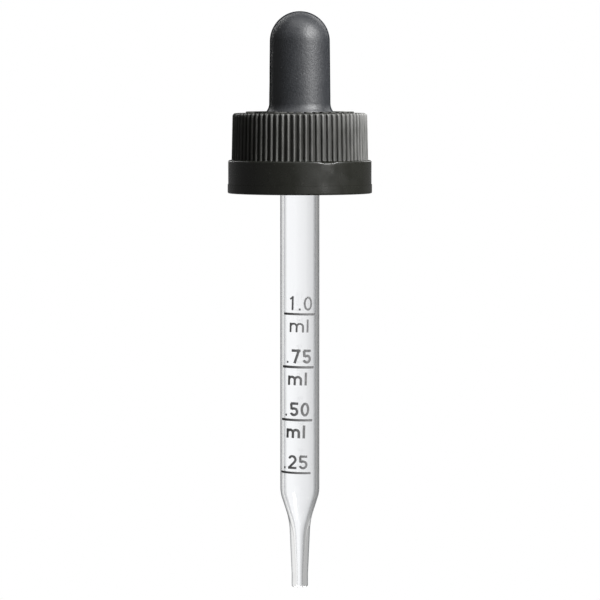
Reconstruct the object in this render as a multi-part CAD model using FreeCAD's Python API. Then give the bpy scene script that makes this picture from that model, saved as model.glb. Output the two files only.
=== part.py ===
import FreeCAD, Part
import math
import os

# Child-resistant medicine dropper: a graduated glass pipette, a rubber bulb and a two-piece
# push-and-turn closure for a 20-400 bottle neck. Lengths are in millimetres.
# The origin is the middle of the sealing face, where the rubber flange rests on the bottle's lip.
# +Z points up the bulb; the pipette hangs below. Heights are measured from the sealing face.

# ---- pipette ----
BARREL_RADIUS = 3.5
BORE_RADIUS = 2.9
GRIP_RADIUS = 3.7
GRIP_TRANSITION = 0.4
PIPETTE_TOP = 7.0
TIP_HEIGHT = -79.6
TIP_RADIUS = 1.46
TIP_BORE_RADIUS = 0.45
TIP_STRAIGHT = 2.4
SHOULDER_HEIGHT = TIP_HEIGHT + 18.0
SHOULDER_CURVE = 6.1
CONE_ANGLE = 18.0
NECK_CURVE = 13.0
TAPER_ANGLE = 2.6
RIM_ROUND = 0.28

# ---- graduations ----
FIRST_MARK_HEIGHT = TIP_HEIGHT + 20.9
MARK_VOLUME = 250.0
PRINT_TILT = 1.5
PRINT_DRIFT = 2.1
PRINT_ANGLE_AT_FIRST_MARK = -18.5
INK_THICKNESS = 0.04
LINE_HALF_SPAN = 52.0
LINE_STROKES = (0.38, 0.42, 0.44, 0.4)
BOLD_STROKE = 0.46
MEDIUM_STROKE = 0.42
THIN_STROKE = 0.35
DOT_SIZE = 0.36
DIGIT_RISE = 0.68
DIGIT_HEIGHT = 2.5
DIGIT_WIDTH = 1.62
UNIT_DROP = 3.24
UNIT_HEIGHT = 2.33
UNIT_LOWER_HEIGHT = 1.7
UNIT_M_WIDTH = 2.6

# ---- rubber ----
FLANGE_RADIUS = 8.95
FLANGE_THICKNESS = 1.4
COLLAR_TOP = 3.2
COLLAR_NECK_RADIUS = 5.85
COLLAR_SWELL_RADIUS = 6.15
COLLAR_SWELL_EDGE = 0.05
COLLAR_SWELL_TAPER = 0.3
BULB_BASE_RADIUS = 5.97
BULB_FLARE_BOTTOM = 5.75
BULB_FLARE_TOP = 7.2
BULB_WALL_FOOT_RADIUS = 5.48
BULB_RADIUS = 5.36
BULB_WALL = 1.2
DOME_HEIGHT = 18.24
BULB_GLASS_CLEARANCE = 0.05
BULB_SEAT_GAP = 0.3
BULB_SEAT_TAPER = 0.8

# ---- outer shell ----
SHELL_TOP = 5.45
SHELL_BOTTOM = -8.85
TOP_THICKNESS = 1.15
CENTRE_HOLE_RADIUS = 6.3
RIB_COUNT = 72
RIB_HEIGHT = 0.42
RIB_HALF_ANGLE = 1.4
RIB_CREST_AT_TOP = 12.02
RIB_CREST_AT_BAND = 12.2
RIB_BURIED_DEPTH = 0.6
TOP_EDGE_ROUND = 0.55
BAND_TOP = -2.95
BAND_RADIUS = 12.8
BAND_CORNER = 0.25
BAND_WAIST_HEIGHT = -7.1
BAND_WAIST_DEPTH = 0.02
RIM_RADIUS = 12.9
RIM_STEP = 0.3
SHELL_BORE_RADIUS = 10.95
SHELL_POCKET_RADIUS = 11.75
SHELL_POCKET_TOP = -3.7
SHELL_POCKET_TAPER = 0.8
BEAD_RADIUS = 11.3
BEAD_TOP = -7.55
BEAD_RAMP = 0.25
BEAD_WIDTH = 0.45

# ---- raised marks on the shell's top ----
RAISED_MARK_HEIGHT = 0.28
RAISED_MARK_INNER = 7.5
RAISED_MARK_OUTER = 9.65
BAR_COUNT = 12
BAR_PITCH = 9.6
BAR_STARTS = (80, 260)
BAR_HALF_ANGLES = (2.1, 3.2, 3.2)
ARROW_DIRECTIONS = (45, 225)
ARROW_HALF_SPAN = 19.0
ARROW_INNER = 8.2
ARROW_OUTER = 8.95
ARROW_HEAD_LENGTH = 1.9

# ---- shallow hollow in the band's upper edge ----
DIP_DEPTH = 0.3
DIP_HALF_WIDTH = 1.85
DIP_DIRECTION = -66.8

# ---- inner cap ----
INNER_TOP = 2.4
INNER_BOTTOM = -7.5
INNER_RADIUS = 10.75
INNER_HOLE_RADIUS = 5.9
INNER_CHAMFER = 0.3
LIP_RADIUS = 11.55
LIP_TOP = -6.5
LIP_TAPER = 0.6
LIP_CORNER = 0.25
FLANGE_CLEARANCE = 0.1
THREAD_RELIEF_TOP = -0.8
MOUTH_CHAMFER = 0.4
THREAD_ROOT_RADIUS = 10.05
THREAD_CREST_RADIUS = 9.15
THREAD_PITCH = 3.175
THREAD_TURNS = 1.2
THREAD_START = -6.1
THREAD_ROOT_HALF_HEIGHT = 1.05
THREAD_CREST_HALF_HEIGHT = 0.3
THREAD_CREST_SHOULDER_HALF_HEIGHT = 0.5
THREAD_CREST_SHOULDER = 0.15
THREAD_BURIED_DEPTH = 0.25

# ---- drive ----
LUG_COUNT = 12
LUG_HEIGHT = 0.85
LUG_SPAN = 9.0
LUG_INNER_RADIUS = 8.7
LUG_OUTER_RADIUS = 10.4
FINGER_COUNT = 6
SPRING_INNER_RADIUS = 6.6
SPRING_OUTER_RADIUS = 8.1
SPRING_RING_THICKNESS = 0.35
FINGER_WIDTH = 1.2
FINGER_INSET = 0.15

# ---- working allowances ----
FUSE_DEPTH = 0.2
CUT_MARGIN = 1.0

ORIGIN = FreeCAD.Vector(0, 0, 0)
AXIS = FreeCAD.Vector(0, 0, 1)


def point(radius, height):
    """A point in the half plane that a turned shape is drawn in."""
    return FreeCAD.Vector(radius, 0, height)


def line(start, end):
    return Part.LineSegment(point(*start), point(*end)).toShape()


def arc(start, middle, end):
    return Part.Arc(point(*start), point(*middle), point(*end)).toShape()


def turned(edges):
    """The solid swept by a closed outline turned once about the axis."""
    face = Part.Face(Part.Wire(edges))
    return face.revolve(ORIGIN, AXIS, 360)


def turned_polygon(corners):
    """A turned solid whose outline has only straight sides."""
    sides = [line(corners[i - 1], corners[i]) for i in range(len(corners))]
    return turned(sides)


def around(shape, angle):
    """A copy of the shape turned about the axis."""
    copy = shape.copy()
    copy.rotate(ORIGIN, AXIS, angle)
    return copy


def repeated(shape, count, first_angle=0.0):
    """Copies of the shape spread evenly about the axis."""
    return [around(shape, first_angle + 360.0 * i / count) for i in range(count)]


def sector(inner, outer, bottom, top, half_angle, middle_angle=0.0):
    """A block that follows a ring for a part of its turn."""
    corners = [(inner, bottom), (outer, bottom), (outer, top), (inner, top)]
    sides = [line(corners[i - 1], corners[i]) for i in range(4)]
    face = Part.Face(Part.Wire(sides))
    block = face.revolve(ORIGIN, AXIS, 2 * half_angle)
    return around(block, middle_angle - half_angle)


def on_circle(centre, radius, angle):
    """The point of a circle in the outline's plane at an angle from the radial direction."""
    turn = math.radians(angle)
    return (centre[0] + radius * math.cos(turn), centre[1] + radius * math.sin(turn))


# ---- glass pipette ----


def drawn_tube_outline(barrel, tip, shoulder, tip_straight_top):
    """The drawn-down outline: convex shoulder, cone, concave neck, slow taper, straight tip."""
    cone = math.radians(CONE_ANGLE)
    taper = math.radians(TAPER_ANGLE)
    shoulder_centre = (barrel - SHOULDER_CURVE, shoulder)
    shoulder_middle = on_circle(shoulder_centre, SHOULDER_CURVE, -CONE_ANGLE / 2)
    shoulder_end = on_circle(shoulder_centre, SHOULDER_CURVE, -CONE_ANGLE)
    neck_drop = NECK_CURVE * (math.sin(cone) - math.sin(taper))
    neck_shrink = NECK_CURVE * (math.cos(taper) - math.cos(cone))
    # the cone and the taper share what is left between the shoulder, the neck curve and the tip
    height_left = shoulder_end[1] - neck_drop - tip_straight_top
    shrink_left = shoulder_end[0] - neck_shrink - tip
    slope_difference = math.tan(cone) - math.tan(taper)
    cone_length = (shrink_left - height_left * math.tan(taper)) / slope_difference
    cone_end = (shoulder_end[0] - cone_length * math.tan(cone), shoulder_end[1] - cone_length)
    neck_centre = (
        cone_end[0] + NECK_CURVE * math.cos(cone),
        cone_end[1] - NECK_CURVE * math.sin(cone),
    )
    neck_middle = on_circle(neck_centre, NECK_CURVE, 180 - (CONE_ANGLE + TAPER_ANGLE) / 2)
    neck_end = on_circle(neck_centre, NECK_CURVE, 180 - TAPER_ANGLE)
    return [
        arc((barrel, shoulder), shoulder_middle, shoulder_end),
        line(shoulder_end, cone_end),
        arc(cone_end, neck_middle, neck_end),
        line(neck_end, (tip, tip_straight_top)),
    ]


def glass_pipette():
    """Borosilicate tube, drawn down to the tip, with fire-polished ends and a swollen grip."""
    straight_top = TIP_HEIGHT + TIP_STRAIGHT
    wall_middle_tip = (TIP_RADIUS + TIP_BORE_RADIUS) / 2
    wall_middle_top = (GRIP_RADIUS + BORE_RADIUS) / 2
    tip_corner = (TIP_RADIUS, TIP_HEIGHT + RIM_ROUND)
    tip_inner_corner = (TIP_BORE_RADIUS, TIP_HEIGHT + RIM_ROUND)
    top_corner = (GRIP_RADIUS, PIPETTE_TOP - RIM_ROUND)
    top_inner_corner = (BORE_RADIUS, PIPETTE_TOP - RIM_ROUND)
    outside = drawn_tube_outline(BARREL_RADIUS, TIP_RADIUS, SHOULDER_HEIGHT, straight_top)
    inside = drawn_tube_outline(BORE_RADIUS, TIP_BORE_RADIUS, SHOULDER_HEIGHT, straight_top)
    edges = [
        arc(tip_inner_corner, (wall_middle_tip, TIP_HEIGHT), tip_corner),
        line(tip_corner, (TIP_RADIUS, straight_top)),
        line((BARREL_RADIUS, SHOULDER_HEIGHT), (BARREL_RADIUS, 0)),
        line((BARREL_RADIUS, 0), (GRIP_RADIUS, GRIP_TRANSITION)),
        line((GRIP_RADIUS, GRIP_TRANSITION), top_corner),
        arc(top_corner, (wall_middle_top, PIPETTE_TOP), top_inner_corner),
        line(top_inner_corner, (BORE_RADIUS, SHOULDER_HEIGHT)),
        line((TIP_BORE_RADIUS, straight_top), tip_inner_corner),
    ]
    return turned(Part.__sortEdges__(edges + outside + inside))


# ---- graduations ----


def bar(start, end, stroke):
    """A straight stroke of a printed sign, drawn flat with x across and z up."""
    along = point(*end) - point(*start)
    along.normalize()
    side = FreeCAD.Vector(-along.z, 0, along.x) * (stroke / 2)
    corners = [point(*start) + side, point(*end) + side, point(*end) - side, point(*start) - side]
    return Part.Face(Part.makePolygon(corners + corners[:1]))


def bow(centre, radius, start, end, stroke):
    """A round stroke about a centre, from one angle to another."""
    middle = (start + end) / 2
    outer = radius + stroke / 2
    inner = radius - stroke / 2
    edges = [
        arc(*[on_circle(centre, outer, angle) for angle in (start, middle, end)]),
        line(on_circle(centre, outer, end), on_circle(centre, inner, end)),
        arc(*[on_circle(centre, inner, angle) for angle in (end, middle, start)]),
        line(on_circle(centre, inner, start), on_circle(centre, outer, start)),
    ]
    return Part.Face(Part.Wire(edges))


def oval(width, height, inset):
    """An upright oval face, as wide and high as a sign less an inset all round."""
    centre = point(0, height / 2)
    top = point(0, height - inset)
    side = point(width / 2 - inset, height / 2)
    return Part.Face(Part.Wire(Part.Ellipse(top, side, centre).toShape()))


def sign_zero(width, height, stroke):
    return oval(width, height, 0).cut(oval(width, height, stroke)).Faces


def sign_one(width, height, stroke):
    stem = width / 8
    flag_reach = width / 3.2
    flag_drop = width / 3
    return [
        bar((stem, 0), (stem, height), stroke),
        bar((stem - flag_reach, height - flag_drop), (stem, height - stroke / 2), stroke * 0.8),
    ]


def sign_two(width, height, stroke):
    radius = (width - stroke) / 2
    head = (0, height - radius - stroke / 2)
    head_start, head_end = -38, 165
    foot = stroke / 2
    return [
        bow(head, radius, head_start, head_end, stroke),
        bar(on_circle(head, radius, head_start), (-radius, foot), stroke),
        bar((-width / 2, foot), (width / 2, foot), stroke),
    ]


def sign_five(width, height, stroke):
    radius = (width - stroke) / 2
    bowl = (0, radius + stroke / 2)
    bowl_start, bowl_end = -160, 140
    top = height - stroke / 2
    top_left, top_right = -width / 2.6, width / 2.2
    return [
        bow(bowl, radius, bowl_start, bowl_end, stroke),
        bar(on_circle(bowl, radius, bowl_end), (-width / 2.9, top), stroke),
        bar((top_left, top), (top_right, top), stroke),
    ]


def sign_seven(width, height, stroke):
    top = height - stroke / 2
    foot = -width / 7
    return [
        bar((-width / 2, top), (width / 2, top), stroke),
        bar((width / 2 - stroke / 2, height), (foot, 0), stroke),
    ]


def sign_dot():
    return [bar((0, 0), (0, DOT_SIZE), DOT_SIZE)]


def sign_m(width, height, stroke):
    radius = (width - stroke) / 4
    arch = height - radius - stroke / 2
    return [
        bar((-2 * radius, 0), (-2 * radius, height), stroke),
        bar((0, 0), (0, arch), stroke),
        bar((2 * radius, 0), (2 * radius, arch), stroke),
        bow((-radius, arch), radius, 0, 180, stroke),
        bow((radius, arch), radius, 0, 180, stroke),
    ]


def sign_l(height, stroke):
    return [bar((0, 0), (0, height), stroke)]


def ink(strokes, across, up, mark_height):
    """Ink on the barrel: flat strokes pressed on to the glass. The print tilts and drifts a little."""
    reach = BARREL_RADIUS + CUT_MARGIN
    stamps = [stroke.extrude(FreeCAD.Vector(0, -reach, 0)) for stroke in strokes]
    stamp = stamps[0]
    if len(stamps) > 1:
        stamp = stamp.multiFuse(stamps[1:]).removeSplitter()
    stamp.rotate(ORIGIN, FreeCAD.Vector(0, 1, 0), PRINT_TILT)
    film = Part.makeCylinder(BARREL_RADIUS + INK_THICKNESS, 2 * reach, point(0, -reach))
    film = film.cut(Part.makeCylinder(BARREL_RADIUS, 2 * reach, point(0, -reach)))
    pressed = stamp.common(film)
    rise = mark_height + up - FIRST_MARK_HEIGHT
    along = across + rise * math.tan(math.radians(PRINT_DRIFT))
    height = mark_height + up - across * math.sin(math.radians(PRINT_TILT))
    turn = PRINT_ANGLE_AT_FIRST_MARK + math.degrees(along / BARREL_RADIUS)
    pressed.rotate(ORIGIN, AXIS, turn)
    pressed.translate(FreeCAD.Vector(0, 0, height))
    return pressed.Solids


def mark_heights():
    """One height for each quarter of a millilitre, from the volume of the bore."""
    step = MARK_VOLUME / (math.pi * BORE_RADIUS**2)
    return [FIRST_MARK_HEIGHT + step * i for i in range(4)]


def graduation_lines():
    """The four lines of the scale."""
    half = BARREL_RADIUS * math.sin(math.radians(LINE_HALF_SPAN))
    solids = []
    for height, stroke in zip(mark_heights(), LINE_STROKES):
        solids += ink([bar((-half, 0), (half, 0), stroke)], 0, 0, height)
    return Part.Compound(solids)


def graduation_numerals():
    """The numbers above the lines and the unit below the upper three."""
    size = (DIGIT_WIDTH, DIGIT_HEIGHT)
    quarter, half, three_quarters, whole = mark_heights()
    point_place, first_place, second_place = -1.93, -0.33, 1.66
    whole_one_place, whole_point_place, whole_zero_place = -1.47, 0.03, 1.54
    unit_m_place, unit_l_place = -0.38, 1.6
    signs = [
        (sign_dot(), point_place, DIGIT_RISE, quarter),
        (sign_two(*size, MEDIUM_STROKE), first_place, DIGIT_RISE, quarter),
        (sign_five(*size, MEDIUM_STROKE), second_place, DIGIT_RISE, quarter),
        (sign_dot(), point_place, DIGIT_RISE, half),
        (sign_five(*size, BOLD_STROKE), first_place, DIGIT_RISE, half),
        (sign_zero(*size, BOLD_STROKE), second_place, DIGIT_RISE, half),
        (sign_dot(), point_place, DIGIT_RISE, three_quarters),
        (sign_seven(*size, BOLD_STROKE), first_place, DIGIT_RISE, three_quarters),
        (sign_five(*size, BOLD_STROKE), second_place, DIGIT_RISE, three_quarters),
        (sign_one(*size, THIN_STROKE), whole_one_place, DIGIT_RISE, whole),
        (sign_dot(), whole_point_place, DIGIT_RISE, whole),
        (sign_zero(*size, THIN_STROKE), whole_zero_place, DIGIT_RISE, whole),
    ]
    units = ((half, BOLD_STROKE), (three_quarters, MEDIUM_STROKE), (whole, THIN_STROKE))
    for height, stroke in units:
        letter_m = sign_m(UNIT_M_WIDTH, UNIT_LOWER_HEIGHT, stroke)
        signs.append((letter_m, unit_m_place, -UNIT_DROP, height))
        signs.append((sign_l(UNIT_HEIGHT, stroke), unit_l_place, -UNIT_DROP, height))
    solids = []
    for strokes, across, up, height in signs:
        solids += ink(strokes, across, up, height)
    return Part.Compound(solids)


# ---- rubber ----


def bulb_collar():
    """The foot of the rubber bulb: a sealing flange and a neck that grips the glass."""
    return turned_polygon(
        [
            (BARREL_RADIUS, 0),
            (FLANGE_RADIUS, 0),
            (FLANGE_RADIUS, FLANGE_THICKNESS),
            (COLLAR_NECK_RADIUS, FLANGE_THICKNESS),
            (COLLAR_NECK_RADIUS, INNER_TOP),
            (COLLAR_SWELL_RADIUS, INNER_TOP + COLLAR_SWELL_EDGE),
            (COLLAR_SWELL_RADIUS, COLLAR_TOP - COLLAR_SWELL_TAPER),
            (BULB_BASE_RADIUS, COLLAR_TOP),
            (GRIP_RADIUS, COLLAR_TOP),
            (GRIP_RADIUS, GRIP_TRANSITION),
        ]
    )


def squeeze_bulb():
    """The hollow rubber bulb: flared foot, slightly drafted wall and round dome."""
    flare_rise = BULB_FLARE_TOP - BULB_FLARE_BOTTOM
    flare_width = BULB_BASE_RADIUS - BULB_WALL_FOOT_RADIUS
    flare_curve = (flare_rise**2 + flare_width**2) / (2 * flare_width)
    flare_centre = (BULB_WALL_FOOT_RADIUS + flare_curve, BULB_FLARE_TOP)
    flare_turn = math.degrees(math.asin(flare_rise / flare_curve))
    flare_middle = on_circle(flare_centre, flare_curve, 180 + flare_turn / 2)
    flare_end = on_circle(flare_centre, flare_curve, 180 + flare_turn)
    dome_middle = on_circle((0, DOME_HEIGHT), BULB_RADIUS, 45)
    hollow = BULB_RADIUS - BULB_WALL
    hollow_middle = on_circle((0, DOME_HEIGHT), hollow, 45)
    bore = GRIP_RADIUS + BULB_GLASS_CLEARANCE
    seat_top = PIPETTE_TOP + BULB_SEAT_GAP
    wall_foot = (BULB_WALL_FOOT_RADIUS, BULB_FLARE_TOP)
    return turned(
        [
            line((bore, COLLAR_TOP), (BULB_BASE_RADIUS, COLLAR_TOP)),
            line((BULB_BASE_RADIUS, COLLAR_TOP), flare_end),
            arc(flare_end, flare_middle, wall_foot),
            line(wall_foot, (BULB_RADIUS, DOME_HEIGHT)),
            arc((BULB_RADIUS, DOME_HEIGHT), dome_middle, (0, DOME_HEIGHT + BULB_RADIUS)),
            line((0, DOME_HEIGHT + BULB_RADIUS), (0, DOME_HEIGHT + hollow)),
            arc((0, DOME_HEIGHT + hollow), hollow_middle, (hollow, DOME_HEIGHT)),
            line((hollow, DOME_HEIGHT), (hollow, seat_top + BULB_SEAT_TAPER)),
            line((hollow, seat_top + BULB_SEAT_TAPER), (bore, seat_top)),
            line((bore, seat_top), (bore, COLLAR_TOP)),
        ]
    )


# ---- outer shell ----


def ribbed_outline(crest, height):
    """A closed ring of round-topped ribs with flat grooves between them."""
    root = crest - RIB_HEIGHT
    pitch = 360.0 / RIB_COUNT

    def spot(radius, angle):
        turn = math.radians(angle)
        return FreeCAD.Vector(radius * math.cos(turn), radius * math.sin(turn), height)

    edges = []
    for i in range(RIB_COUNT):
        middle = i * pitch
        rise = spot(root, middle - RIB_HALF_ANGLE)
        top = spot(crest, middle)
        fall = spot(root, middle + RIB_HALF_ANGLE)
        following = spot(root, middle + pitch - RIB_HALF_ANGLE)
        edges.append(Part.Arc(rise, top, fall).toShape())
        edges.append(Part.LineSegment(fall, following).toShape())
    return Part.Wire(edges)


def ribbed_skirt():
    """The gripping part of the shell, as a solid block with its top edge rounded."""
    low = BAND_TOP - RIB_BURIED_DEPTH
    drift = (RIB_CREST_AT_BAND - RIB_CREST_AT_TOP) / (SHELL_TOP - BAND_TOP)
    crest_low = RIB_CREST_AT_BAND + RIB_BURIED_DEPTH * drift
    wires = [ribbed_outline(crest_low, low), ribbed_outline(RIB_CREST_AT_TOP, SHELL_TOP)]
    block = Part.makeLoft(wires, True, True)
    edge = RIB_CREST_AT_TOP - TOP_EDGE_ROUND
    round_centre = (edge, SHELL_TOP - TOP_EDGE_ROUND)
    round_middle = on_circle(round_centre, TOP_EDGE_ROUND, 45)
    round_start = (RIB_CREST_AT_TOP, round_centre[1])
    reach = RIB_CREST_AT_BAND + CUT_MARGIN
    trim = turned(
        [
            line((0, low - CUT_MARGIN), (reach, low - CUT_MARGIN)),
            line((reach, low - CUT_MARGIN), (reach, BAND_TOP)),
            line((reach, BAND_TOP), round_start),
            arc(round_start, round_middle, (edge, SHELL_TOP)),
            line((edge, SHELL_TOP), (0, SHELL_TOP)),
            line((0, SHELL_TOP), (0, low - CUT_MARGIN)),
        ]
    )
    return block.common(trim)


def smooth_band():
    """The plain wider band below the ribs, with a waist and a rolled rim, as a solid block."""
    top_corner = (BAND_RADIUS - BAND_CORNER, BAND_TOP - BAND_CORNER)
    rim_corner = (RIM_RADIUS - BAND_CORNER, SHELL_BOTTOM + BAND_CORNER)
    band_start = (BAND_RADIUS, top_corner[1])
    band_end = (BAND_RADIUS, BAND_WAIST_HEIGHT + BAND_CORNER)
    waist = (BAND_RADIUS - BAND_WAIST_DEPTH, BAND_WAIST_HEIGHT)
    rim_start = (RIM_RADIUS, BAND_WAIST_HEIGHT - RIM_STEP)
    rim_end = (RIM_RADIUS, rim_corner[1])
    return turned(
        [
            line((0, BAND_TOP), (top_corner[0], BAND_TOP)),
            arc((top_corner[0], BAND_TOP), on_circle(top_corner, BAND_CORNER, 45), band_start),
            line(band_start, band_end),
            line(band_end, waist),
            line(waist, rim_start),
            line(rim_start, rim_end),
            arc(rim_end, on_circle(rim_corner, BAND_CORNER, -45), (rim_corner[0], SHELL_BOTTOM)),
            line((rim_corner[0], SHELL_BOTTOM), (0, SHELL_BOTTOM)),
            line((0, SHELL_BOTTOM), (0, BAND_TOP)),
        ]
    )


def shell_ceiling():
    """Height of the underside of the shell's top."""
    return SHELL_TOP - TOP_THICKNESS


def shell_cavity():
    """The space inside the shell, with the bead that keeps the inner cap in."""
    ceiling = shell_ceiling()
    return turned_polygon(
        [
            (0, ceiling),
            (SHELL_BORE_RADIUS, ceiling),
            (SHELL_BORE_RADIUS, SHELL_POCKET_TOP),
            (SHELL_POCKET_RADIUS, SHELL_POCKET_TOP - SHELL_POCKET_TAPER),
            (SHELL_POCKET_RADIUS, BEAD_TOP + BEAD_RAMP),
            (BEAD_RADIUS, BEAD_TOP),
            (BEAD_RADIUS, BEAD_TOP - BEAD_WIDTH),
            (SHELL_POCKET_RADIUS, SHELL_BOTTOM),
            (SHELL_POCKET_RADIUS, SHELL_BOTTOM - CUT_MARGIN),
            (0, SHELL_BOTTOM - CUT_MARGIN),
        ]
    )


def ledge_dip():
    """The shallow hollow pressed into the band's upper edge."""
    curve = (DIP_HALF_WIDTH**2 + DIP_DEPTH**2) / (2 * DIP_DEPTH)
    centre = point(RIB_CREST_AT_BAND, BAND_TOP - DIP_DEPTH + curve)
    reach = BAND_RADIUS - RIB_CREST_AT_BAND + CUT_MARGIN
    bit = Part.makeCylinder(curve, reach, centre, FreeCAD.Vector(1, 0, 0))
    width = 2 * DIP_HALF_WIDTH + CUT_MARGIN
    corner = FreeCAD.Vector(RIB_CREST_AT_BAND, -width / 2, BAND_TOP - CUT_MARGIN)
    low_part = Part.makeBox(reach, width, 2 * CUT_MARGIN, corner)
    return around(bit.common(low_part), DIP_DIRECTION)


def curved_arrow(direction):
    """A raised arrow that follows the rim of the top and points the way the cap unscrews."""
    base, top = SHELL_TOP - FUSE_DEPTH, SHELL_TOP + RAISED_MARK_HEIGHT
    shaft = sector(ARROW_INNER, ARROW_OUTER, base, top, ARROW_HALF_SPAN, direction)
    corners = [
        FreeCAD.Vector(RAISED_MARK_INNER, 0, base),
        FreeCAD.Vector(RAISED_MARK_OUTER, 0, base),
        FreeCAD.Vector((ARROW_INNER + ARROW_OUTER) / 2, ARROW_HEAD_LENGTH, base),
    ]
    outline = Part.Face(Part.makePolygon(corners + corners[:1]))
    head = outline.extrude(FreeCAD.Vector(0, 0, top - base))
    overlap_angle = 1.0
    return shaft.fuse(around(head, direction + ARROW_HALF_SPAN - overlap_angle))


def raised_marks():
    """The moulded ring on the top: short tactile bars, and two arrows between them."""
    base, top = SHELL_TOP - FUSE_DEPTH, SHELL_TOP + RAISED_MARK_HEIGHT
    solids = [curved_arrow(direction) for direction in ARROW_DIRECTIONS]
    for start in BAR_STARTS:
        for i in range(BAR_COUNT):
            half_angle = BAR_HALF_ANGLES[i % len(BAR_HALF_ANGLES)]
            angle = start + BAR_PITCH * i
            solids.append(
                sector(RAISED_MARK_INNER, RAISED_MARK_OUTER, base, top, half_angle, angle)
            )
    return solids


def shell_lugs():
    """The drive teeth under the shell's top."""
    ceiling = shell_ceiling()
    low, high = ceiling - LUG_HEIGHT, ceiling + FUSE_DEPTH
    lug = sector(LUG_INNER_RADIUS, LUG_OUTER_RADIUS, low, high, LUG_SPAN / 2)
    return repeated(lug, LUG_COUNT)


def outer_shell():
    """The part that the hand holds, pushes down and turns."""
    solid = ribbed_skirt().fuse(smooth_band())
    solid = solid.cut(shell_cavity())
    hole_depth = TOP_THICKNESS + 2 * CUT_MARGIN
    hole_start = point(0, shell_ceiling() - CUT_MARGIN)
    solid = solid.cut(Part.makeCylinder(CENTRE_HOLE_RADIUS, hole_depth, hole_start))
    solid = solid.cut(ledge_dip())
    return solid.multiFuse(shell_lugs() + raised_marks())


# ---- inner cap ----


def neck_thread():
    """The right-hand thread ridge of a 20-400 finish, inside the inner cap."""
    helix = Part.makeHelix(THREAD_PITCH, THREAD_PITCH * THREAD_TURNS, THREAD_CREST_RADIUS)
    helix.translate(FreeCAD.Vector(0, 0, THREAD_START))
    buried = THREAD_ROOT_RADIUS + THREAD_BURIED_DEPTH
    shoulder = THREAD_CREST_RADIUS + THREAD_CREST_SHOULDER
    upper_half = [
        (THREAD_CREST_RADIUS, THREAD_CREST_HALF_HEIGHT),
        (shoulder, THREAD_CREST_SHOULDER_HALF_HEIGHT),
        (buried, THREAD_ROOT_HALF_HEIGHT),
    ]
    corners = [(radius, THREAD_START - rise) for radius, rise in reversed(upper_half)]
    corners += [(radius, THREAD_START + rise) for radius, rise in upper_half]
    sides = [line(corners[i - 1], corners[i]) for i in range(len(corners))]
    profile = Part.Wire(sides)
    return Part.Wire(helix).makePipeShell([profile], True, True)


def ratchet_lugs():
    """The teeth on the inner cap's top, each with one sloping flank that can ride over."""
    low, high = INNER_TOP - FUSE_DEPTH, INNER_TOP + LUG_HEIGHT
    lug = sector(LUG_INNER_RADIUS, LUG_OUTER_RADIUS, low, high, LUG_SPAN / 2)
    half_width = (LUG_INNER_RADIUS + LUG_OUTER_RADIUS) / 2 * math.radians(LUG_SPAN / 2)
    start = LUG_INNER_RADIUS - CUT_MARGIN
    depth = LUG_OUTER_RADIUS - LUG_INNER_RADIUS + 2 * CUT_MARGIN
    above = high + CUT_MARGIN
    flank_overshoot = 0.05
    profile = [
        (-half_width - CUT_MARGIN, above),
        (-half_width - CUT_MARGIN, INNER_TOP),
        (-half_width, INNER_TOP),
        (0, high + flank_overshoot),
        (0, above),
    ]
    corners = [FreeCAD.Vector(start, y, z) for y, z in profile]
    face = Part.Face(Part.makePolygon(corners + corners[:1]))
    wedge = face.extrude(FreeCAD.Vector(depth, 0, 0))
    return repeated(lug.cut(wedge), LUG_COUNT, 180.0 / LUG_COUNT)


def inner_cap():
    """The part that screws on to the bottle and holds the rubber flange against its lip."""
    recess = FLANGE_RADIUS + FLANGE_CLEARANCE
    cup = turned_polygon(
        [
            (INNER_HOLE_RADIUS, FLANGE_THICKNESS),
            (recess, FLANGE_THICKNESS),
            (recess, FLANGE_CLEARANCE),
            (THREAD_ROOT_RADIUS, THREAD_RELIEF_TOP),
            (THREAD_ROOT_RADIUS, INNER_BOTTOM + MOUTH_CHAMFER),
            (THREAD_ROOT_RADIUS + INNER_CHAMFER, INNER_BOTTOM),
            (LIP_RADIUS - LIP_CORNER, INNER_BOTTOM),
            (LIP_RADIUS, INNER_BOTTOM + LIP_CORNER),
            (LIP_RADIUS, LIP_TOP),
            (INNER_RADIUS, LIP_TOP + LIP_TAPER),
            (INNER_RADIUS, INNER_TOP - INNER_CHAMFER),
            (INNER_RADIUS - INNER_CHAMFER, INNER_TOP),
            (INNER_HOLE_RADIUS, INNER_TOP),
        ]
    )
    return cup.multiFuse([neck_thread()] + ratchet_lugs())


# ---- spring fingers ----


def spring_fingers():
    """The ring of leaf fingers that holds the shell up until it is pushed."""
    ceiling = shell_ceiling()
    ring_bottom = ceiling - SPRING_RING_THICKNESS
    ring = turned_polygon(
        [
            (SPRING_INNER_RADIUS, ring_bottom),
            (SPRING_OUTER_RADIUS, ring_bottom),
            (SPRING_OUTER_RADIUS, ceiling),
            (SPRING_INNER_RADIUS, ceiling),
        ]
    )
    # the finger's outline, seen from the axis: a root under the ring and a leaf that slopes down
    root_end, root_start, root_depth = -2.8, -1.6, 0.1
    leaf_lower_start, leaf_lower_end = -2.2, 2.3
    leaf_upper_end, leaf_tip, leaf_tip_height = 2.6, 2.9, 0.5
    profile = [
        (root_end, ceiling),
        (root_start, ceiling),
        (leaf_upper_end, INNER_TOP + leaf_tip_height),
        (leaf_tip, INNER_TOP),
        (leaf_lower_end, INNER_TOP),
        (leaf_lower_start, ring_bottom - root_depth),
        (root_end, ring_bottom - root_depth),
    ]
    corners = [FreeCAD.Vector(SPRING_INNER_RADIUS + FINGER_INSET, y, z) for y, z in profile]
    outline = Part.Face(Part.makePolygon(corners + corners[:1]))
    finger = outline.extrude(FreeCAD.Vector(FINGER_WIDTH, 0, 0))
    return ring.multiFuse(repeated(finger, FINGER_COUNT))


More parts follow.
